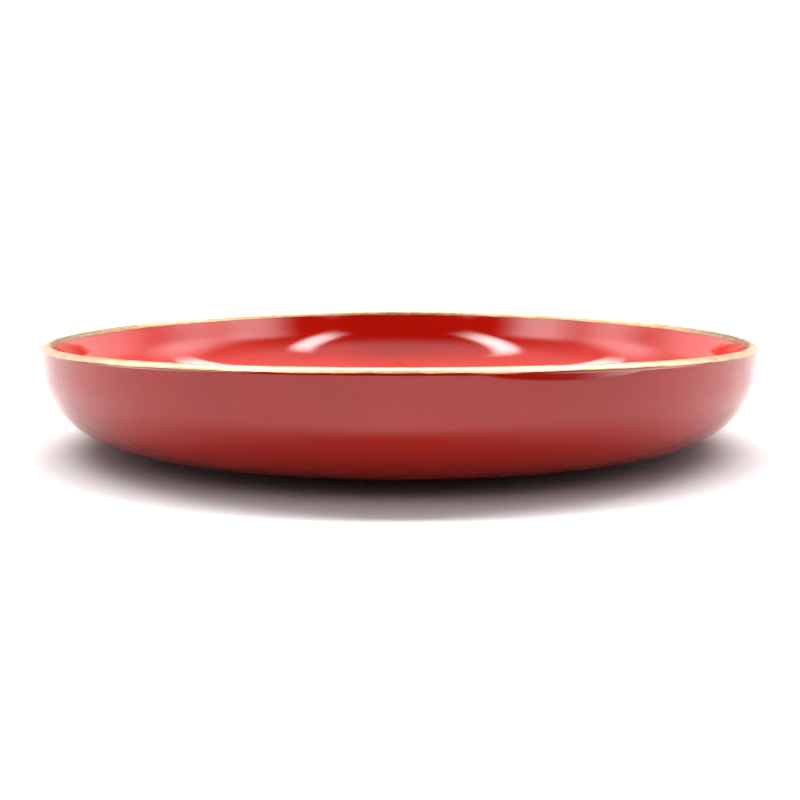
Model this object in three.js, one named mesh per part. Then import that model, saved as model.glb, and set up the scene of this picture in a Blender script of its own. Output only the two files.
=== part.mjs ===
// A shallow round bowl, turned from one piece of wood and coated in layers, with a gilded lip.
// Millimetres, +Z up. The origin is the middle of the ring that the bowl stands on.
import * as THREE from "three";
import { mergeGeometries } from "three/addons/utils/BufferGeometryUtils.js";

// Overall sizes, to the outside of the finish.
const RIM_RADIUS = 120;
const RIM_HEIGHT = 36.6;

// The lip: a rounding along each edge, which a thin lip makes smaller, and a narrow flat between.
const LIP_WIDTH = 3.4;
const LIP_FLAT = 0.3;
const LIP_OUTER_ROUNDING = 2;
const LIP_INNER_ROUNDING = 1.1;

// The outside: a wall that leans out a little, a wide rounding and a nearly flat underside.
const OUTER_WALL_LEAN = 1.5; // degrees from upright
const OUTER_ROUNDING = 27;
const UNDERSIDE_SLOPE = 3; // degrees from level

// The foot is a low ring round a shallow well, turned in one with the bowl.
const FOOT_RADIUS = 66; // outside edge of the face that it stands on
const FOOT_WIDTH = 4.2;
const FOOT_HEIGHT = 1.6;
const FOOT_DRAFT = 8; // degrees from upright, on both sides of the ring
const FOOT_ROUNDING = 0.8;
const WELL_DEPTH = 1.3;

// The inside: a wall, a wide rounding and a slightly dished floor.
const INNER_WALL_LEAN = 10; // degrees from upright
const INNER_ROUNDING = 26;
const FLOOR_HEIGHT = 5; // at the middle
const FLOOR_SLOPE = 1.8; // degrees from level

// Turned wood moves as it dries, so the lip dips this far at the two sides that lie along X.
const LIP_DIP = 2.2;

// The coats, from the surface down to the wood.
const GOLD_THICKNESS = 0.2;
const LACQUER_THICKNESS = 0.25;
const GROUND_THICKNESS = 0.25;

// Outside, the gold starts this many steps up the rounding of the lip. Inside, it runs on below
// the rounding.
const GOLD_FIRST_STEP = 1;
const GOLD_BELOW_LIP_INSIDE = 0.5;

// How finely the curves are cut.
const TURNS = 48;
const WIDE_ARC_STEPS = 6;
const LIP_ARC_STEPS = 4;
const SMALL_ARC_STEPS = 2;

// How deep the top of each layer lies below the finished outline.
const GOLD_DEPTH = 0;
const LACQUER_DEPTH = GOLD_DEPTH + GOLD_THICKNESS;
const GROUND_DEPTH = LACQUER_DEPTH + LACQUER_THICKNESS;
const WOOD_DEPTH = GROUND_DEPTH + GROUND_THICKNESS;

const tangentOf = (degrees) => Math.tan(THREE.MathUtils.degToRad(degrees));

// The roundings that the lip has room for, and the crest between them, where the coats meet.
const lipRoom = (LIP_WIDTH - LIP_FLAT) / (LIP_OUTER_ROUNDING + LIP_INNER_ROUNDING);
const lipOuterRounding = LIP_OUTER_ROUNDING * Math.min(1, lipRoom);
const lipInnerRounding = LIP_INNER_ROUNDING * Math.min(1, lipRoom);
const lipCrest = RIM_RADIUS - (lipOuterRounding + LIP_WIDTH - lipInnerRounding) / 2;

// Where the gold ends inside, and the wide roundings that the walls have room for.
const goldInsideEnd = RIM_HEIGHT - lipInnerRounding - GOLD_BELOW_LIP_INSIDE;
const undersideAtWall = FOOT_HEIGHT + (RIM_RADIUS - FOOT_RADIUS) * tangentOf(UNDERSIDE_SLOPE);
const floorAtWall = FLOOR_HEIGHT + (RIM_RADIUS - LIP_WIDTH) * tangentOf(FLOOR_SLOPE);
const outerRounding = Math.min(OUTER_ROUNDING, RIM_HEIGHT - lipOuterRounding - undersideAtWall);
const innerRounding = Math.min(INNER_ROUNDING, goldInsideEnd - floorAtWall);

const unit = (degrees) => {
  const angle = THREE.MathUtils.degToRad(degrees);
  return new THREE.Vector2(Math.cos(angle), Math.sin(angle));
};

const leftOf = (direction) => new THREE.Vector2(-direction.y, direction.x);

// A straight side of the section, x outwards and y up. It runs at `heading` degrees through the
// point, with the wood on its left, and a layer `depth` down lies that far to the left of it.
function side(x, y, heading, depth) {
  const direction = unit(heading);
  const point = new THREE.Vector2(x, y).addScaledVector(leftOf(direction), depth);
  return { point, direction, heading };
}

// Where two straight sides cross.
function crossing(first, second) {
  const apart = second.point.clone().sub(first.point);
  const along = apart.cross(second.direction) / first.direction.cross(second.direction);
  return first.point.clone().addScaledVector(first.direction, along);
}

// The points of the corner between two sides, rounded to a radius. A deeper layer has a smaller
// rounding at a corner that turns left and a larger one at a corner that turns right.
function corner(first, second, rounding = 0, depth = 0, steps = SMALL_ARC_STEPS) {
  const turn = THREE.MathUtils.euclideanModulo(second.heading - first.heading + 180, 360) - 180;
  const hand = Math.sign(turn);
  const radius = Math.max(rounding - hand * depth, 0);
  const meeting = crossing(first, second);
  if (radius === 0) return [meeting];
  const tangent = radius * Math.tan(THREE.MathUtils.degToRad(Math.abs(turn)) / 2);
  const start = meeting.clone().addScaledVector(first.direction, -tangent);
  const centre = start.clone().addScaledVector(leftOf(first.direction), hand * radius);
  const points = [];
  for (let step = 0; step <= steps; step += 1) {
    const heading = first.heading + (turn * step) / steps;
    points.push(centre.clone().addScaledVector(leftOf(unit(heading)), -hand * radius));
  }
  return points;
}

// The section of the bowl at a depth below its finish, in the three stretches that are coated
// apart: the well under the foot, the outside up to the crest of the lip, and the inside.
function section(depth) {
  const well = side(0, WELL_DEPTH, 0, depth);
  const wellWall = side(FOOT_RADIUS - FOOT_WIDTH, 0, FOOT_DRAFT - 90, depth);
  const footFace = side(FOOT_RADIUS, 0, 0, 0);
  const footWall = side(FOOT_RADIUS, 0, 90 - FOOT_DRAFT, depth);
  const underside = side(FOOT_RADIUS, FOOT_HEIGHT, UNDERSIDE_SLOPE, depth);
  const outerWall = side(RIM_RADIUS, RIM_HEIGHT, 90 - OUTER_WALL_LEAN, depth);
  const lip = side(lipCrest, RIM_HEIGHT, 180, depth);
  const innerWall = side(RIM_RADIUS - LIP_WIDTH, RIM_HEIGHT, 270 - INNER_WALL_LEAN, depth);
  const floor = side(0, FLOOR_HEIGHT, 180 + FLOOR_SLOPE, depth);
  const lipOutside = corner(outerWall, lip, lipOuterRounding, depth, LIP_ARC_STEPS);
  const lipInside = corner(lip, innerWall, lipInnerRounding, depth);
  const goldEnd = crossing(innerWall, side(0, goldInsideEnd, 0, 0));
  return {
    lipOutside,
    lipInside,
    goldEnd,
    well: [
      well.point,
      ...corner(well, wellWall, FOOT_ROUNDING, depth),
      ...corner(wellWall, footFace),
    ],
    outside: [
      ...corner(footFace, footWall),
      ...corner(footWall, underside, FOOT_ROUNDING, depth),
      ...corner(underside, outerWall, outerRounding, depth, WIDE_ARC_STEPS),
      ...lipOutside,
      lip.point,
    ],
    inside: [
      lip.point,
      ...lipInside,
      goldEnd,
      ...corner(innerWall, floor, innerRounding, depth, WIDE_ARC_STEPS),
      axisPoint(floor),
    ],
  };
}

// Where a side of the section meets the axis that the bowl is turned about.
function axisPoint(line) {
  const axis = side(0, 0, 90, 0);
  const point = crossing(line, axis);
  return new THREE.Vector2(0, point.y);
}

// The stretch of a section that the gold covers, over the lip from outside to inside.
function goldStretch(depth) {
  const { lipOutside, lipInside, goldEnd } = section(depth);
  return [...lipOutside.slice(GOLD_FIRST_STEP), ...lipInside, goldEnd];
}

// Lowers each point by its share of the dip, which grows with its height and with the square of
// its distance from the YZ plane. The foot stays level.
function dried(geometry) {
  const points = geometry.getAttribute("position");
  for (let i = 0; i < points.count; i += 1) {
    const reach = points.getX(i) / RIM_RADIUS;
    const z = points.getZ(i);
    points.setZ(i, z - (LIP_DIP * reach * reach * z) / RIM_HEIGHT);
  }
  return geometry;
}

// A stretch of section turned once about the axis, with its faces to the right of its way.
function skin(stretch) {
  return dried(new THREE.LatheGeometry(stretch, TURNS).rotateX(Math.PI / 2));
}

// The same skin with its faces turned over. Its triangles stay as they were cut, so it matches
// the layer below facet by facet.
function turnedOver(geometry) {
  const corners = geometry.index.array;
  for (let i = 0; i < corners.length; i += 3) {
    [corners[i], corners[i + 1]] = [corners[i + 1], corners[i]];
  }
  return geometry;
}

function part(name, geometry, material) {
  const mesh = new THREE.Mesh(geometry, material);
  mesh.name = name;
  return mesh;
}

// A coat between two stretches of section. An end that isn't on the axis is closed by a ring.
function coat(name, top, under, material) {
  const skins = [skin(top), turnedOver(skin(under))];
  if (top[0].x !== 0) skins.push(skin([under[0], top[0]]));
  if (top.at(-1).x !== 0) skins.push(skin([top.at(-1), under.at(-1)]));
  return part(name, mergeGeometries(skins), material);
}

const finishes = {
  wood: new THREE.MeshStandardMaterial({ color: "#c9a06a", roughness: 0.7, metalness: 0 }),
  ground: new THREE.MeshStandardMaterial({ color: "#7a3a2a", roughness: 0.9, metalness: 0 }),
  lacquer: new THREE.MeshStandardMaterial({ color: "#a8220f", roughness: 0.12, metalness: 0 }),
  gold: new THREE.MeshStandardMaterial({ color: "#e0c290", roughness: 0.35, metalness: 0.8 }),
};

const woodSection = section(WOOD_DEPTH);
const groundSection = section(GROUND_DEPTH);
const lacquerSection = section(LACQUER_DEPTH);

const bowl = new THREE.Group();
const woodOutline = [
  ...woodSection.well,
  ...woodSection.outside,
  ...woodSection.inside.slice(1),
];
bowl.add(part("turned_wood_body", skin(woodOutline), finishes.wood));

for (const stretch of ["outside", "inside", "well"]) {
  bowl.add(
    coat(`${stretch}_ground`, groundSection[stretch], woodSection[stretch], finishes.ground),
    coat(`${stretch}_lacquer`, lacquerSection[stretch], groundSection[stretch], finishes.lacquer),
  );
}

bowl.add(
  coat("gilded_lip_band", goldStretch(GOLD_DEPTH), goldStretch(LACQUER_DEPTH), finishes.gold),
);

export default bowl;
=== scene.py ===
"""The looks of a shallow turned wooden bowl: red lacquer inside and out, and a gold line round the
lip. Metres, +Z up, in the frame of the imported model."""

from __future__ import annotations

import logging
import math
from dataclasses import dataclass
from enum import Enum
import bmesh
import bpy
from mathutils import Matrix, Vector, noise


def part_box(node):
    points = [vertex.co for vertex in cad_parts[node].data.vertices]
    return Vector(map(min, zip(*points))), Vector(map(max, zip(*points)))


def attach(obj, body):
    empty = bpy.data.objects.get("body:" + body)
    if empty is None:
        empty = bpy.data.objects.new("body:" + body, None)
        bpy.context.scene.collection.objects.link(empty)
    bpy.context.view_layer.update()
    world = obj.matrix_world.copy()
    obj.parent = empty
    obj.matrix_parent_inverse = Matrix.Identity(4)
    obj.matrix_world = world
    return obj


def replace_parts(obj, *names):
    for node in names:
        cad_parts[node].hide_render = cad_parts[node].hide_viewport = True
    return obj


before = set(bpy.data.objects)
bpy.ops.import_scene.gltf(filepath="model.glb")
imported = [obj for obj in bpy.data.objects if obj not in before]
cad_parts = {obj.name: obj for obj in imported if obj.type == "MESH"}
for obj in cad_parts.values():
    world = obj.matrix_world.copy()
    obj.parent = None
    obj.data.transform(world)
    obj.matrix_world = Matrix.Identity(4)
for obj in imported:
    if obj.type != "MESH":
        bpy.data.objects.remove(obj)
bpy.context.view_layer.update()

LOG = logging.getLogger("bowl")
MM = 0.001
BODY = "root"


class Coat(Enum):
    """A layer of the bowl's finish, by the stretch of section that it covers."""

    OUTSIDE = "outside"
    INSIDE = "inside"
    WELL = "well"


# --------------------------------------------------------------------------- section


@dataclass(frozen=True)
class Side:
    """A straight side of the section, with the wood on its left.

    Args:
        point: A point that the side runs through, as radius and height.
        heading: The way that it runs, in degrees.
    """

    point: Vector
    heading: float

    @classmethod
    def at_depth(cls, radius: float, height: float, heading: float, depth: float) -> Side:
        """Makes the side that lies a depth to the left of a point.

        Args:
            radius: Distance of the point from the axis.
            height: Height of the point.
            heading: The way that the side runs, in degrees.
            depth: How far to the left the side lies.

        Returns:
            The side.
        """
        return cls(Vector((radius, height)) + depth * left_of(heading), heading)

    @property
    def direction(self) -> Vector:
        """The side's way as a unit vector."""
        return unit(self.heading)

    def crossing(self, other: Side) -> Vector:
        """Finds where this side meets another.

        Args:
            other: The other side.

        Returns:
            The point where the two meet.
        """
        apart = other.point - self.point
        along = apart.cross(other.direction) / self.direction.cross(other.direction)
        return self.point + along * self.direction


def unit(heading: float) -> Vector:
    """Turns a heading in degrees into a unit vector."""
    return Vector((math.cos(math.radians(heading)), math.sin(math.radians(heading))))


def left_of(heading: float) -> Vector:
    """Gives the unit vector to the left of a heading in degrees."""
    return unit(heading + 90)


def rounded_corner(first: Side, second: Side, rounding: float, depth: float, steps: int) -> list[Vector]:
    """Rounds the corner between two sides.

    Args:
        first: The side before the corner.
        second: The side after it.
        rounding: Radius of the rounding on the finished surface.
        depth: How deep the layer lies, which changes the radius.
        steps: Number of straight pieces in the rounding.

    Returns:
        The points of the rounding, or the corner itself if nothing is left to round.
    """
    turn = (second.heading - first.heading + 180) % 360 - 180
    hand = math.copysign(1, turn)
    radius = max(rounding - hand * depth, 0)
    meeting = first.crossing(second)
    if radius == 0:
        return [meeting]
    start = meeting - radius * math.tan(math.radians(abs(turn)) / 2) * first.direction
    centre = start + hand * radius * left_of(first.heading)
    headings = [first.heading + turn * step / steps for step in range(steps + 1)]
    return [centre - hand * radius * left_of(heading) for heading in headings]


@dataclass
class BowlSection:
    """The section of the bowl, which every turned piece is cut from. Lengths are in metres."""

    rim_radius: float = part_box("gilded_lip_band")[1].y + 0.19 * MM
    rim_height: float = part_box("gilded_lip_band")[1].z
    lip_width: float = 3.4 * MM
    lip_outer_rounding: float = 2.0 * MM
    lip_inner_rounding: float = 1.1 * MM
    outer_wall_lean: float = 1.5
    outer_rounding: float = 27 * MM
    underside_slope: float = 3
    foot_radius: float = 66 * MM
    foot_width: float = 4.2 * MM
    foot_height: float = 1.6 * MM
    foot_draft: float = 8
    foot_rounding: float = 0.8 * MM
    well_depth: float = 1.3 * MM
    inner_wall_lean: float = 10
    inner_rounding: float = 26 * MM
    floor_height: float = 5 * MM
    floor_slope: float = 1.8
    gold_below_lip_inside: float = 0.5 * MM
    lip_dip: float = 2.2 * MM
    gold_thickness: float = 0.2 * MM
    lacquer_thickness: float = 0.25 * MM
    ground_thickness: float = 0.25 * MM
    wide_steps: int = 28
    lip_steps: int = 12
    gold_first_step: int = 3
    small_steps: int = 6
    span: float = 4 * MM
    flat_reach: float = 6.5 * MM
    flat_depth: float = 0.62 * MM
    flat_middle: float = 22
    flat_half: float = 17
    flat_wall: float = 10.2 * MM
    flat_fade: float = 0.6

    @property
    def lacquer_depth(self) -> float:
        """How deep the lacquer lies below the outline of the gold."""
        return self.gold_thickness

    @property
    def ground_depth(self) -> float:
        """How deep the ground lies."""
        return self.lacquer_depth + self.lacquer_thickness

    @property
    def wood_depth(self) -> float:
        """How deep the wood lies."""
        return self.ground_depth + self.ground_thickness

    @property
    def crest_radius(self) -> float:
        """Radius of the crest of the lip, where the inside and outside coats meet."""
        return self.rim_radius - (self.lip_outer_rounding + self.lip_width - self.lip_inner_rounding) / 2

    def lip_sides(self, depth: float) -> tuple[Side, Side, Side]:
        """Gives the outer wall, the top of the lip and the inner wall at a depth.

        Args:
            depth: How deep the layer lies.

        Returns:
            The three sides, from outside to inside.
        """
        outer = Side.at_depth(self.rim_radius, self.rim_height, 90 - self.outer_wall_lean, depth)
        lip = Side.at_depth(self.crest_radius, self.rim_height, 180, depth)
        inner_radius = self.rim_radius - self.lip_width
        inner = Side.at_depth(inner_radius, self.rim_height, 270 - self.inner_wall_lean, depth)
        return outer, lip, inner

    def lip_roundings(self, depth: float) -> tuple[list[Vector], list[Vector]]:
        """Gives the points of the lip's outer and inner roundings at a depth.

        Args:
            depth: How deep the layer lies.

        Returns:
            The points of the outer rounding and of the inner one.
        """
        outer, lip, inner = self.lip_sides(depth)
        outside = rounded_corner(outer, lip, self.lip_outer_rounding, depth, self.lip_steps)
        inside = rounded_corner(lip, inner, self.lip_inner_rounding, depth, self.small_steps)
        return outside, inside

    def stretch(self, coat: Coat, depth: float) -> list[Vector]:
        """Gives one stretch of the section at a depth.

        Args:
            coat: Which stretch.
            depth: How deep below the finished outline.

        Returns:
            The points of the stretch, with the wood on the left.
        """
        well = Side.at_depth(0, self.well_depth, 0, depth)
        foot_inside = self.foot_radius - self.foot_width
        well_wall = Side.at_depth(foot_inside, 0, self.foot_draft - 90, depth)
        foot_face = Side.at_depth(self.foot_radius, 0, 0, 0)
        foot_wall = Side.at_depth(self.foot_radius, 0, 90 - self.foot_draft, depth)
        underside = Side.at_depth(self.foot_radius, self.foot_height, self.underside_slope, depth)
        floor = Side.at_depth(0, self.floor_height, 180 + self.floor_slope, depth)
        outer, lip, inner = self.lip_sides(depth)
        lip_outside, lip_inside = self.lip_roundings(depth)
        if coat is Coat.WELL:
            rounding = rounded_corner(well, well_wall, self.foot_rounding, depth, self.small_steps)
            points = [well.point, *rounding, well_wall.crossing(foot_face)]
        elif coat is Coat.OUTSIDE:
            points = [foot_face.crossing(foot_wall)]
            points += rounded_corner(foot_wall, underside, self.foot_rounding, depth, self.small_steps)
            points += rounded_corner(underside, outer, self.outer_rounding, depth, self.wide_steps)
            points += [*lip_outside, lip.point]
        else:
            points = [lip.point, *lip_inside]
            points += rounded_corner(inner, floor, self.inner_rounding, depth, self.wide_steps)
            points.append(floor.crossing(Side(Vector((0, 0)), 90)))
        return self.divided(points)

    def gold_stretch(self, depth: float) -> list[Vector]:
        """Gives the stretch of section under the gold, over the lip from outside to inside.

        Args:
            depth: How deep the layer lies.

        Returns:
            The points of the stretch.
        """
        inner = self.lip_sides(depth)[2]
        outside, inside = self.lip_roundings(depth)
        end_height = self.rim_height - self.lip_inner_rounding - self.gold_below_lip_inside
        end = inner.crossing(Side(Vector((0, end_height)), 0))
        return [*outside[self.gold_first_step :], *inside, end]

    def divided(self, points: list[Vector]) -> list[Vector]:
        """Divides long straight pieces of a stretch, so that the drying dip bends them evenly.

        Args:
            points: The points of the stretch.

        Returns:
            The same stretch with more points.
        """
        finer = [points[0]]
        for start, end in zip(points, points[1:]):
            parts = max(1, math.ceil((end - start).length / self.span))
            finer += [start.lerp(end, part / parts) for part in range(1, parts + 1)]
        return finer

    def dried(self, point: Vector) -> Vector:
        """Lowers a point by its share of the dip that drying gave the lip's X sides.

        Args:
            point: A point of a turned layer.

        Returns:
            Where the point lies after drying.
        """
        reach = point.x / self.rim_radius
        share = reach * reach * point.z / self.rim_height
        return Vector((point.x, point.y, point.z - self.lip_dip * share))

    def rubbed(self, point: Vector) -> Vector:
        """Moves a point in where the sanding left a flat stretch under the front of the lip.

        Args:
            point: A point of a turned layer.

        Returns:
            Where the point lies after sanding.
        """
        below = self.rim_height - point.z
        radius = math.hypot(point.x, point.y)
        if below > self.flat_reach or radius < self.rim_radius - self.flat_wall:
            return point
        way = math.degrees(math.atan2(point.x, -point.y))
        off = min(abs(way - self.flat_middle) / self.flat_half, 1)
        across = (0.5 + 0.5 * math.cos(math.pi * off)) ** self.flat_fade
        share = (1 - below / self.flat_reach) ** 2 * across
        scale = 1 - self.flat_depth * share / radius
        return Vector((point.x * scale, point.y * scale, point.z))


# --------------------------------------------------------------------------- finishes


class Nodes:
    """Builds one material's node tree with short calls."""

    def __init__(self, name: str) -> None:
        """Starts a material with an empty node tree.

        Args:
            name: The material's name.
        """
        self.material = bpy.data.materials.new(name)
        self.material.use_nodes = True
        self.start(self.material.node_tree, "Object")

    @classmethod
    def of_tree(cls, tree: bpy.types.NodeTree, place: str) -> Nodes:
        """Takes over a node tree, such as the world's, with a kind of coordinate to read.

        Args:
            tree: The node tree, which is emptied.
            place: The kind of coordinate.

        Returns:
            The helper that fills it.
        """
        nodes = cls.__new__(cls)
        nodes.start(tree, place)
        return nodes

    def start(self, tree: bpy.types.NodeTree, place: str) -> None:
        """Empties a node tree and adds the coordinates that its textures read.

        Args:
            tree: The node tree.
            place: The kind of coordinate.
        """
        self.tree = tree
        self.tree.nodes.clear()
        self.place = self.add("ShaderNodeTexCoord").outputs[place]

    def add(self, kind: str, inputs: dict | None = None, **settings: object) -> bpy.types.Node:
        """Adds a node.

        Args:
            kind: The node's type name.
            inputs: Values or sockets for its inputs, by input name or number.
            settings: Properties of the node.

        Returns:
            The node.
        """
        node = self.tree.nodes.new(kind)
        for key, value in settings.items():
            setattr(node, key, value)
        for key, value in (inputs or {}).items():
            if isinstance(value, bpy.types.NodeSocket):
                self.tree.links.new(value, node.inputs[key])
            else:
                node.inputs[key].default_value = value
        return node

    def noise(self, size: float, detail: float = 2, stretch: tuple = (1, 1, 1)) -> bpy.types.NodeSocket:
        """Adds noise whose blots are about a size across, and gives its value socket.

        Args:
            size: Size of a blot in metres.
            detail: Octaves of finer noise.
            stretch: Scale along each axis.

        Returns:
            The noise's value.
        """
        mapping = self.add("ShaderNodeMapping", {"Vector": self.place, "Scale": stretch})
        texture = self.add(
            "ShaderNodeTexNoise",
            {"Vector": mapping.outputs["Vector"], "Scale": 1 / size, "Detail": detail},
        )
        return texture.outputs["Fac"]

    def ramp(
        self, value: bpy.types.NodeSocket, low: float, high: float, to: tuple = (0, 1)
    ) -> bpy.types.NodeSocket:
        """Maps a value from low..high to a range, with the ends held.

        Args:
            value: The value to map.
            low: Where the range starts.
            high: Where it ends.
            to: What the two ends are mapped to.

        Returns:
            The mapped value.
        """
        node = self.add(
            "ShaderNodeMapRange",
            {"Value": value, "From Min": low, "From Max": high, "To Min": to[0], "To Max": to[1]},
        )
        return node.outputs["Result"]

    def smooth(
        self, value: bpy.types.NodeSocket, low: float, high: float, to: tuple = (0, 1)
    ) -> bpy.types.NodeSocket:
        """Maps a value from low..high to a range with eased ends.

        Args:
            value: The value to map.
            low: Where the range starts.
            high: Where it ends.
            to: What the two ends are mapped to.

        Returns:
            The mapped value.
        """
        node = self.add(
            "ShaderNodeMapRange",
            {"Value": value, "From Min": low, "From Max": high, "To Min": to[0], "To Max": to[1]},
            interpolation_type="SMOOTHSTEP",
        )
        return node.outputs["Result"]

    def math(self, operation: str, first: object, second: object = 0.0) -> bpy.types.NodeSocket:
        """Adds a math node and gives its value socket."""
        return self.add("ShaderNodeMath", {0: first, 1: second}, operation=operation).outputs["Value"]

    def mix(self, share: object, first: object, second: object) -> bpy.types.NodeSocket:
        """Mixes two colours by a share.

        Args:
            share: Share of the second colour.
            first: The first colour.
            second: The second colour.

        Returns:
            The mixed colour.
        """
        node = self.add("ShaderNodeMix", data_type="RGBA")
        for socket, value in ((node.inputs[0], share), (node.inputs[6], first), (node.inputs[7], second)):
            if isinstance(value, bpy.types.NodeSocket):
                self.tree.links.new(value, socket)
            else:
                socket.default_value = value
        return node.outputs[2]

    def bump(self, height: bpy.types.NodeSocket, strength: float, distance: float) -> bpy.types.NodeSocket:
        """Adds a bump and gives its normal socket."""
        node = self.add("ShaderNodeBump", {"Height": height, "Strength": strength, "Distance": distance})
        return node.outputs["Normal"]

    def finish(self, inputs: dict) -> bpy.types.Material:
        """Adds the surface shader with its inputs and gives the finished material.

        Args:
            inputs: Values or sockets for the shader's inputs, by name.

        Returns:
            The material.
        """
        shader = self.add("ShaderNodeBsdfPrincipled", inputs)
        self.add("ShaderNodeOutputMaterial", {"Surface": shader.outputs["BSDF"]})
        return self.material


def colour(red: float, green: float, blue: float) -> tuple[float, float, float, float]:
    """Gives an opaque colour from its linear parts."""
    return (red, green, blue, 1.0)


@dataclass(frozen=True)
class LacquerFinish:
    """Vermilion paint under clear varnish. Each copy's colours hold painted light: the outside copy is
    painted darker and the inside copy lighter than the one real lacquer.
    """

    name: str = "outside_red_painted_darker"
    # The default colours are the outside copy, painted darker as painted shade.
    deep: tuple = colour(0.31, 0.0060, 0.0012)
    bright: tuple = colour(0.355, 0.0072, 0.0016)
    gloss: float = 0.04

    def build(self) -> bpy.types.Material:
        """Builds the material, with clouding, dust under the varnish and a brush-laid ripple.

        Returns:
            The material.
        """
        nodes = Nodes(self.name)
        clouds = nodes.ramp(nodes.noise(0.035, 3), 0.3, 0.7)
        body = nodes.mix(clouds, self.deep, self.bright)
        specks = nodes.add("ShaderNodeTexVoronoi", {"Vector": nodes.place, "Scale": 1 / 0.016})
        speck = nodes.ramp(specks.outputs["Distance"], 0.012, 0.022, (0.75, 0))
        dust = nodes.mix(speck, body, colour(0.06, 0.012, 0.01))
        sheen = nodes.ramp(nodes.noise(0.02, 4), 0.3, 0.7, (self.gloss, self.gloss * 1.5))
        ripple = nodes.noise(0.030, 1, (1, 1, 0.6))
        peel = nodes.noise(0.0016, 1)
        height = nodes.math("ADD", ripple, nodes.math("MULTIPLY", peel, 0.035))
        nib = nodes.ramp(specks.outputs["Distance"], 0.0, 0.03, (0.12, 0))
        normal = nodes.bump(nodes.math("ADD", height, nib), 0.35, 0.00022)
        return nodes.finish(
            {"Base Color": dust, "Roughness": sheen, "IOR": 1.5, "Normal": normal}
        )


@dataclass(frozen=True)
class GoldFinish:
    """Pale gold laid by brush and varnished, worn through in places.

    Args:
        name: The material's name.
        pale: Colour where the gold is thick.
        warm: Colour where it is thin.
        wear: Share of the gold that is rubbed through, from 0 to 1.
    """

    name: str = "lip_gold"
    pale: tuple = colour(0.40, 0.29, 0.17)
    warm: tuple = colour(0.31, 0.19, 0.10)
    worn: tuple = colour(0.10, 0.018, 0.008)
    roughness: float = 0.34
    wear: float = 0.35

    def build(self) -> bpy.types.Material:
        """Builds the material.

        Returns:
            The material.
        """
        nodes = Nodes(self.name)
        body = nodes.mix(nodes.ramp(nodes.noise(0.004, 4), 0.35, 0.75), self.pale, self.warm)
        patches = nodes.noise(0.045, 2)
        chips = nodes.noise(0.0022, 3, (1, 1, 2.2))
        threshold = nodes.ramp(patches, 0.45, 0.65, (0.80, 0.80 - 0.24 * self.wear))
        place = nodes.add("ShaderNodeSeparateXYZ", {"Vector": nodes.place})
        front = nodes.smooth(place.outputs["Y"], -0.05, -0.09)
        chipped = nodes.ramp(nodes.math("SUBTRACT", chips, threshold), 0.0, 0.03)
        worn = nodes.math("MULTIPLY", chipped, front)
        shown = nodes.mix(worn, body, self.worn)
        metal = nodes.ramp(worn, 0, 1, (0.9, 0))
        rough = nodes.ramp(nodes.noise(0.003, 3), 0.3, 0.7, (self.roughness, self.roughness + 0.14))
        strokes = nodes.noise(0.0012, 3)
        height = nodes.math("SUBTRACT", strokes, nodes.math("MULTIPLY", worn, 0.8))
        normal = nodes.bump(height, 0.3, 0.0001)
        return nodes.finish(
            {"Base Color": shown, "Metallic": metal, "Roughness": rough, "Normal": normal}
        )


@dataclass(frozen=True)
class WoodFinish:
    """Bare turned limewood, with rings across it and soiling from the table."""

    name: str = "limewood"
    early: tuple = colour(0.58, 0.40, 0.22)
    late: tuple = colour(0.40, 0.25, 0.12)
    soil: tuple = colour(0.15, 0.09, 0.05)

    def build(self) -> bpy.types.Material:
        """Builds the material.

        Returns:
            The material.
        """
        nodes = Nodes(self.name)
        mapping = nodes.add(
            "ShaderNodeMapping", {"Vector": nodes.place, "Location": (0.0, 0.35, 0), "Scale": (1, 1, 0.15)}
        )
        rings = nodes.add(
            "ShaderNodeTexWave",
            {
                "Vector": mapping.outputs["Vector"],
                "Scale": 42,
                "Distortion": 3.5,
                "Detail": 3,
                "Detail Scale": 1.4,
            },
            wave_type="RINGS",
            rings_direction="Z",
        )
        grain = nodes.ramp(rings.outputs["Fac"], 0.1, 0.95)
        body = nodes.mix(grain, self.early, self.late)
        pores = nodes.ramp(nodes.noise(0.0007, 3, (1, 6, 1)), 0.55, 0.75, (0, 0.35))
        darker = nodes.mix(pores, body, self.late)
        soiled = nodes.mix(nodes.ramp(nodes.noise(0.012, 4), 0.5, 0.75, (0, 0.55)), darker, self.soil)
        normal = nodes.bump(nodes.math("ADD", grain, nodes.noise(0.0008, 2)), 0.25, 0.0001)
        return nodes.finish({"Base Color": soiled, "Roughness": 0.6, "Normal": normal})


@dataclass(frozen=True)
class GroundFinish:
    """Earth-red priming, rubbed down by hand."""

    name: str = "rubbed_ground"
    light: tuple = colour(0.16, 0.045, 0.025)
    dark: tuple = colour(0.10, 0.026, 0.015)

    def build(self) -> bpy.types.Material:
        """Builds the material.

        Returns:
            The material.
        """
        nodes = Nodes(self.name)
        body = nodes.mix(nodes.noise(0.006, 4), self.light, self.dark)
        normal = nodes.bump(nodes.noise(0.0006, 2, (1, 1, 5)), 0.3, 0.0001)
        return nodes.finish({"Base Color": body, "Roughness": 0.85, "Normal": normal})


# --------------------------------------------------------------------------- pieces


def finished_piece(
    name: str, mesh: bmesh.types.BMesh, material: bpy.types.Material
) -> bpy.types.Object:
    """Turns a bmesh into a piece that rides on the bowl.

    Args:
        name: The piece's name.
        mesh: Its mesh, which is freed.
        material: Its finish.

    Returns:
        The piece.
    """
    data = bpy.data.meshes.new(name)
    mesh.to_mesh(data)
    mesh.free()
    data.materials.append(material)
    piece = bpy.data.objects.new(name, data)
    bpy.context.scene.collection.objects.link(piece)
    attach(piece, BODY)
    LOG.info("%s: %d faces", name, len(data.polygons))
    return piece


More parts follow.
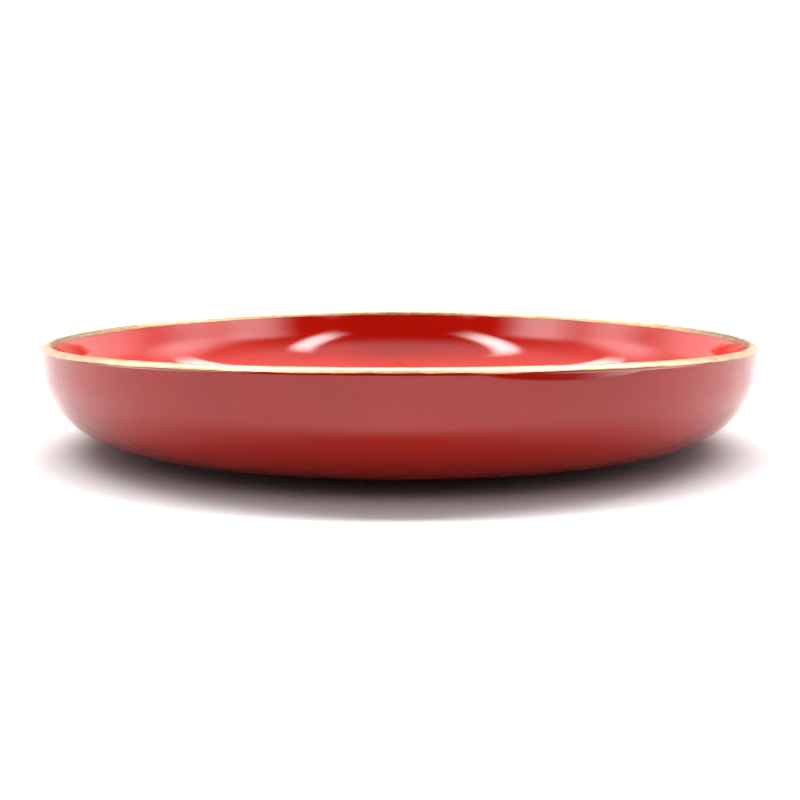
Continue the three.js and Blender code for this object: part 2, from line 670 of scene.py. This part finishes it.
def shade(mesh: bmesh.types.BMesh, sharp_angle: float = 35) -> None:
    """Shades a mesh smooth, with its sharp edges kept.

    Args:
        mesh: The mesh.
        sharp_angle: Degrees between two faces from which their edge stays sharp.
    """
    for face in mesh.faces:
        face.smooth = True
    for edge in mesh.edges:
        if len(edge.link_faces) == 2 and edge.calc_face_angle(0) > math.radians(sharp_angle):
            edge.smooth = False


def turned(profile: list[Vector], closed: bool, steps: int) -> bmesh.types.BMesh:
    """Turns a profile once about the bowl's axis.

    Args:
        profile: Its points, as radius and height.
        closed: Whether it closes on itself, or starts and ends on the axis.
        steps: Number of steps in the turn.

    Returns:
        The turned mesh, with its poles merged and its faces pointing out.
    """
    mesh = bmesh.new()
    points = [mesh.verts.new((point.x, 0, point.y)) for point in profile]
    pairs = list(zip(points, points[1:])) + ([(points[-1], points[0])] if closed else [])
    edges = [mesh.edges.new(pair) for pair in pairs]
    bmesh.ops.spin(
        mesh,
        geom=[*points, *edges],
        cent=(0, 0, 0),
        axis=(0, 0, 1),
        dvec=(0, 0, 0),
        angle=2 * math.pi,
        steps=steps,
        use_merge=True,
        use_duplicate=False,
    )
    bmesh.ops.remove_doubles(mesh, verts=mesh.verts, dist=1e-7)
    bmesh.ops.recalc_face_normals(mesh, faces=mesh.faces)
    return mesh


@dataclass
class TurnedBody:
    """The turned wood and the coats that cover it."""

    section: BowlSection
    steps: int = 256
    hidden_steps: int = 96

    def dry(self, mesh: bmesh.types.BMesh) -> None:
        """Gives a turned mesh the sanded stretch under the lip and the dip from drying."""
        for vert in mesh.verts:
            vert.co = self.section.dried(self.section.rubbed(vert.co))

    def wood(self, material: bpy.types.Material) -> bpy.types.Object:
        """Builds the wooden body.

        Args:
            material: The bare wood's material.

        Returns:
            The piece.
        """
        depth = self.section.wood_depth
        well = self.section.stretch(Coat.WELL, depth)
        outside = self.section.stretch(Coat.OUTSIDE, depth)
        inside = self.section.stretch(Coat.INSIDE, depth)
        mesh = turned([*well, *outside, *inside[1:]], False, self.hidden_steps)
        self.dry(mesh)
        shade(mesh)
        piece = finished_piece("wooden_body", mesh, material)
        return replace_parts(piece, "turned_wood_body")

    def coat(
        self, coat: Coat, layer: str, depths: tuple[float, float], material: bpy.types.Material
    ) -> bpy.types.Object:
        """Builds one coat.

        Args:
            coat: The stretch that it covers.
            layer: The layer's name.
            depths: Depth of its top and of its underside.
            material: Its finish.

        Returns:
            The piece.
        """
        top, under = (self.section.stretch(coat, depth) for depth in depths)
        if coat is Coat.INSIDE:
            profile = [*reversed(under), *top]
        else:
            profile = [*top, *reversed(under)]
        steps = self.steps if layer == "lacquer" else self.hidden_steps
        mesh = turned(profile, coat is Coat.OUTSIDE, steps)
        self.dry(mesh)
        shade(mesh)
        piece = finished_piece(f"{coat.value}_{layer}_coat", mesh, material)
        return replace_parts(piece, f"{coat.value}_{layer}")

    def build(
        self,
        wood: bpy.types.Material,
        ground: bpy.types.Material,
        lacquers_with_painted_light: dict[Coat, bpy.types.Material],
    ) -> None:
        """Builds the wood and all six coats.

        Args:
            wood: The bare wood's material.
            ground: The priming's material.
            lacquers_with_painted_light: The lacquer's material on each stretch.
        """
        section = self.section
        self.wood(wood)
        for coat in Coat:
            self.coat(coat, "ground", (section.ground_depth, section.wood_depth), ground)
            # Inside coats get the lacquer painted lighter; outside and well coats get the one painted
            # darker, as painted shade.
            self.coat(coat, "lacquer", (section.lacquer_depth, section.ground_depth), lacquers_with_painted_light[coat])


@dataclass
class LipBand:
    """The gold line over the lip, laid by hand, so its edges waver a little."""

    section: BowlSection
    steps: int = 512
    waver: float = 0.16 * MM
    waver_length: float = 9 * MM

    def edge_share(self, vert: bmesh.types.BMVert) -> float:
        """Gives how far a point of the band follows the wavering edge, from 0 at the lip to 1."""
        drop = self.section.rim_height - vert.co.z
        return min(max(drop / (1.2 * MM) - 0.4, 0) / 0.6, 1)

    def build(self, material: bpy.types.Material) -> bpy.types.Object:
        """Builds the band.

        Args:
            material: The gold's material.

        Returns:
            The piece.
        """
        section = self.section
        top = section.gold_stretch(0)
        under = section.gold_stretch(section.gold_thickness)
        mesh = turned([*top, *reversed(under)], True, self.steps)
        for vert in mesh.verts:
            side = 0.0 if Vector((vert.co.x, vert.co.y)).length > section.crest_radius else 5.0
            place = Vector((vert.co.x, vert.co.y, side)) / self.waver_length
            shift = noise.noise(place) + 0.5 * noise.noise(3.1 * place)
            vert.co.z += self.waver * shift * self.edge_share(vert)
            vert.co = section.dried(section.rubbed(vert.co))
        shade(mesh)
        piece = finished_piece("lip_gold_line", mesh, material)
        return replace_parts(piece, "gilded_lip_band")


# --------------------------------------------------------------------------- studio


@dataclass(frozen=True)
class SoftPatch:
    """A soft-edged bright patch, as seen from the bowl.

    Args:
        azimuth: Where its middle lies, in degrees from the camera's side towards +X.
        elevation: How high its middle lies, in degrees.
        length: Its length in degrees.
        width: Its width in degrees.
        slant: Degrees that its length is turned up from level.
        radiance: How bright its middle is.
        softness: Share of each half of it over which it fades out.
    """

    azimuth: float
    elevation: float
    length: float
    width: float
    slant: float
    radiance: float
    softness: float = 0.6


class Sky:
    """Turns the ray that a node tree looks along into light, by the ray's azimuth and elevation."""

    def __init__(self, nodes: Nodes) -> None:
        """Finds the azimuth and elevation that a ray leaves in, both in degrees.

        Args:
            nodes: The node tree that reads the ray.
        """
        self.nodes = nodes
        way = nodes.add("ShaderNodeVectorMath", {0: nodes.place}, operation="NORMALIZE")
        self.way = way.outputs["Vector"]
        ray = nodes.add("ShaderNodeSeparateXYZ", {"Vector": self.way})
        forward = nodes.math("MULTIPLY", ray.outputs["Y"], -1.0)
        self.azimuth = nodes.math("DEGREES", nodes.math("ARCTAN2", ray.outputs["X"], forward))
        self.elevation = nodes.math("DEGREES", nodes.math("ARCSINE", ray.outputs["Z"]))

    def tent(self, front: float, walls: float, back: float, roof: float) -> bpy.types.NodeSocket:
        """Adds the even light of the tent.

        Args:
            front: Radiance of its open side, low behind the camera.
            walls: Radiance of its side walls.
            back: Radiance of its back wall.
            roof: Radiance of its roof.

        Returns:
            The tent's radiance.
        """
        nodes = self.nodes
        turned = nodes.math("ABSOLUTE", self.azimuth)
        sides = nodes.smooth(turned, 30, 105, (front, walls))
        low = nodes.math("MULTIPLY", sides, nodes.smooth(turned, 115, 165, (1, back / walls)))
        up = nodes.smooth(self.elevation, 30, 50)
        below = nodes.math("MULTIPLY", low, nodes.math("SUBTRACT", 1.0, up))
        return nodes.math("ADD", below, nodes.math("MULTIPLY", up, roof))

    def lamp(self, tilt: float, width: float, length: float, radiance: float) -> bpy.types.NodeSocket:
        """Adds a long lamp that hangs across the sky, along X.

        Args:
            tilt: How far it hangs behind the zenith, in degrees.
            width: Its width, in degrees.
            length: Its length, in degrees.
            radiance: Brightness of its middle.

        Returns:
            The lamp's radiance.
        """
        nodes = self.nodes
        ray = nodes.add("ShaderNodeSeparateXYZ", {"Vector": self.way})
        back = nodes.math("DEGREES", nodes.math("ARCTAN2", ray.outputs["Y"], ray.outputs["Z"]))
        across = nodes.math("ABSOLUTE", nodes.math("SUBTRACT", back, tilt))
        along = nodes.math("ABSOLUTE", nodes.math("DEGREES", nodes.math("ARCSINE", ray.outputs["X"])))
        narrow = nodes.smooth(across, width / 2, width / 4)
        wide = nodes.smooth(along, length / 2, length / 4)
        return nodes.math("MULTIPLY", nodes.math("MULTIPLY", narrow, wide), radiance)

    def patch(self, patch: SoftPatch) -> bpy.types.NodeSocket:
        """Adds one soft patch and gives its radiance.

        Args:
            patch: Where the patch lies and how bright it is.

        Returns:
            The patch's radiance.
        """
        nodes = self.nodes
        right = nodes.math("SUBTRACT", self.azimuth, patch.azimuth)
        up = nodes.math("SUBTRACT", self.elevation, patch.elevation)
        cos, sin = math.cos(math.radians(patch.slant)), math.sin(math.radians(patch.slant))
        along = nodes.math("ADD", nodes.math("MULTIPLY", right, cos), nodes.math("MULTIPLY", up, sin))
        across = nodes.math("SUBTRACT", nodes.math("MULTIPLY", up, cos), nodes.math("MULTIPLY", right, sin))
        fades = [
            nodes.smooth(nodes.math("ABSOLUTE", reach), half, half * (1 - patch.softness))
            for reach, half in ((along, patch.length / 2), (across, patch.width / 2))
        ]
        return nodes.math("MULTIPLY", nodes.math("MULTIPLY", *fades), patch.radiance)


@dataclass
class Studio:
    """A pale floor, soft light and the camera."""

    section: BowlSection
    front: float = 0.03
    walls: float = 1.3
    back: float = 0.25
    roof: float = 1.0
    lamp: float = 35.0
    lamp_tilt: float = 20
    lamp_width: float = 16
    lamp_length: float = 110
    white: float = 1.6
    floor_radius: float = 3.0
    focal_share: float = 1211 / 800
    distance_share: float = 3.5
    height_share: float = 0.269
    tilt: float = 7.64
    strips: tuple[SoftPatch, ...] = (
        SoftPatch(-47, 44, 68, 16, -42, 22, 0.8),
        SoftPatch(41, 41, 56, 15, 46, 20, 0.8),
        SoftPatch(-58, 19, 40, 28, 0, 6, 0.9),
        SoftPatch(60, 19, 40, 28, 0, 5, 0.9),
        SoftPatch(-96, 22, 70, 30, -20, 4.5, 0.9),
        SoftPatch(92, 24, 70, 34, 20, 4.5, 0.9),
        SoftPatch(-82, 4, 60, 22, 0, 6, 0.9),
        SoftPatch(80, 4, 60, 22, 0, 6, 0.9),
        SoftPatch(-140, 6, 80, 40, 0, 1.5, 0.7),
        SoftPatch(140, 6, 80, 40, 0, 1.5, 0.7),
        SoftPatch(0, 75, 400, 70, 0, 0.9, 0.5),
    )

    def build(self) -> None:
        """Builds the whole set."""
        self.tent()
        self.mirrored_strips()
        self.backdrop()
        self.floor()
        self.camera()
        scene = bpy.context.scene
        scene.view_settings.view_transform = "Standard"
        scene.view_settings.look = "None"

    def tent(self) -> None:
        """Lights the bowl from a white tent that is open at the front, with a long lamp under its roof."""
        world = bpy.data.worlds.new("tent")
        world.use_nodes = True
        nodes = Nodes.of_tree(world.node_tree, "Generated")
        sky = Sky(nodes)
        tent = sky.tent(self.front, self.walls, self.back, self.roof)
        lamp = sky.lamp(self.lamp_tilt, self.lamp_width, self.lamp_length, self.lamp)
        level = nodes.math("ADD", tent, lamp)
        warm_white = colour(1.0, 0.985, 0.98)
        background = nodes.add("ShaderNodeBackground", {"Color": warm_white, "Strength": level})
        nodes.add("ShaderNodeOutputWorld", {"Surface": background.outputs[0]})
        bpy.context.scene.world = world

    def mirrored_strips(self) -> None:
        """Hangs narrow lamps round the bowl that only its gloss shows."""
        mesh = bmesh.new()
        bmesh.ops.create_uvsphere(mesh, u_segments=48, v_segments=24, radius=self.floor_radius * 0.9)
        bmesh.ops.bisect_plane(
            mesh, geom=[*mesh.verts, *mesh.edges, *mesh.faces], plane_no=(0, 0, 1), clear_inner=True
        )
        nodes = Nodes("mirrored_strips")
        sky = Sky(nodes)
        level = sky.patch(self.strips[0])
        for strip in self.strips[1:]:
            level = nodes.math("ADD", level, sky.patch(strip))
        glow = nodes.add("ShaderNodeEmission", {"Color": colour(1.0, 0.985, 0.985), "Strength": level})
        clear = nodes.add("ShaderNodeBsdfTransparent")
        both = nodes.add("ShaderNodeAddShader", {0: clear.outputs[0], 1: glow.outputs[0]})
        nodes.add("ShaderNodeOutputMaterial", {"Surface": both.outputs[0]})
        nodes.material.cycles.emission_sampling = "NONE"
        strips = self.staged("mirrored_strips", mesh, nodes.material)
        strips.visible_camera = False
        strips.visible_diffuse = False
        strips.visible_shadow = False

    def staged(self, name: str, mesh: bmesh.types.BMesh, material: bpy.types.Material) -> bpy.types.Object:
        """Turns a bmesh into a part of the set.

        Args:
            name: Its name.
            mesh: Its mesh, which is freed.
            material: Its material.

        Returns:
            The object.
        """
        data = bpy.data.meshes.new(name)
        mesh.to_mesh(data)
        mesh.free()
        data.materials.append(material)
        staged = bpy.data.objects.new(name, data)
        bpy.context.scene.collection.objects.link(staged)
        return staged

    def backdrop(self) -> None:
        """Hangs an even white backdrop all round, which is seen but doesn't light the bowl."""
        mesh = bmesh.new()
        bmesh.ops.create_uvsphere(mesh, u_segments=48, v_segments=24, radius=self.floor_radius * 1.02)
        nodes = Nodes("backdrop")
        glow = nodes.add("ShaderNodeEmission", {"Color": colour(1, 0.995, 0.995), "Strength": self.white})
        nodes.add("ShaderNodeOutputMaterial", {"Surface": glow.outputs[0]})
        backdrop = self.staged("backdrop", mesh, nodes.material)
        backdrop.visible_diffuse = False
        backdrop.visible_glossy = False
        backdrop.visible_transmission = False
        backdrop.visible_shadow = False

    def floor(self) -> None:
        """Builds the pale floor, which fades into the backdrop far from the bowl."""
        mesh = bmesh.new()
        bmesh.ops.create_circle(mesh, cap_ends=True, segments=96, radius=self.floor_radius)
        nodes = Nodes("pale_floor")
        far = nodes.add("ShaderNodeVectorMath", {0: nodes.place}, operation="LENGTH").outputs["Value"]
        fade = nodes.smooth(far, 0.22, 0.9)
        paper = nodes.add(
            "ShaderNodeBsdfPrincipled",
            {"Base Color": colour(0.52, 0.517, 0.517), "Roughness": 0.9, "Specular IOR Level": 0.2},
        )
        glow = nodes.add("ShaderNodeEmission", {"Color": colour(1, 0.995, 0.995), "Strength": self.white})
        mixed = nodes.add("ShaderNodeMixShader", {0: fade, 1: paper.outputs[0], 2: glow.outputs[0]})
        nodes.add("ShaderNodeOutputMaterial", {"Surface": mixed.outputs[0]})
        self.staged("floor", mesh, nodes.material)

    def camera(self) -> None:
        """Places the camera."""
        rim = self.section.rim_radius
        data = bpy.data.cameras.new("camera")
        data.sensor_width = 36
        data.lens = self.focal_share * data.sensor_width
        data.clip_start = 0.01
        camera = bpy.data.objects.new("camera", data)
        camera.location = (0, -self.distance_share * rim, self.section.rim_height + self.height_share * rim)
        camera.rotation_euler = (math.radians(90 - self.tilt), 0, 0)
        bpy.context.scene.collection.objects.link(camera)
        bpy.context.scene.camera = camera


def main() -> None:
    """Builds the studio and the bowl, piece by piece."""
    logging.basicConfig(level=logging.INFO, format="%(message)s")
    section = BowlSection()
    Studio(section).build()
    outside = LacquerFinish().build()
    # The inside lacquer is painted lighter and the outside one darker: painted light and painted shade on
    # one red lacquer.
    inside = LacquerFinish("inside_red_painted_lighter", colour(0.46, 0.0130, 0.0026), colour(0.53, 0.0160, 0.0034)).build()
    lacquers_with_painted_light = {Coat.OUTSIDE: outside, Coat.WELL: outside, Coat.INSIDE: inside}
    TurnedBody(section).build(WoodFinish().build(), GroundFinish().build(), lacquers_with_painted_light)
    LipBand(section).build(GoldFinish().build())


if __name__ == "__main__":
    main()
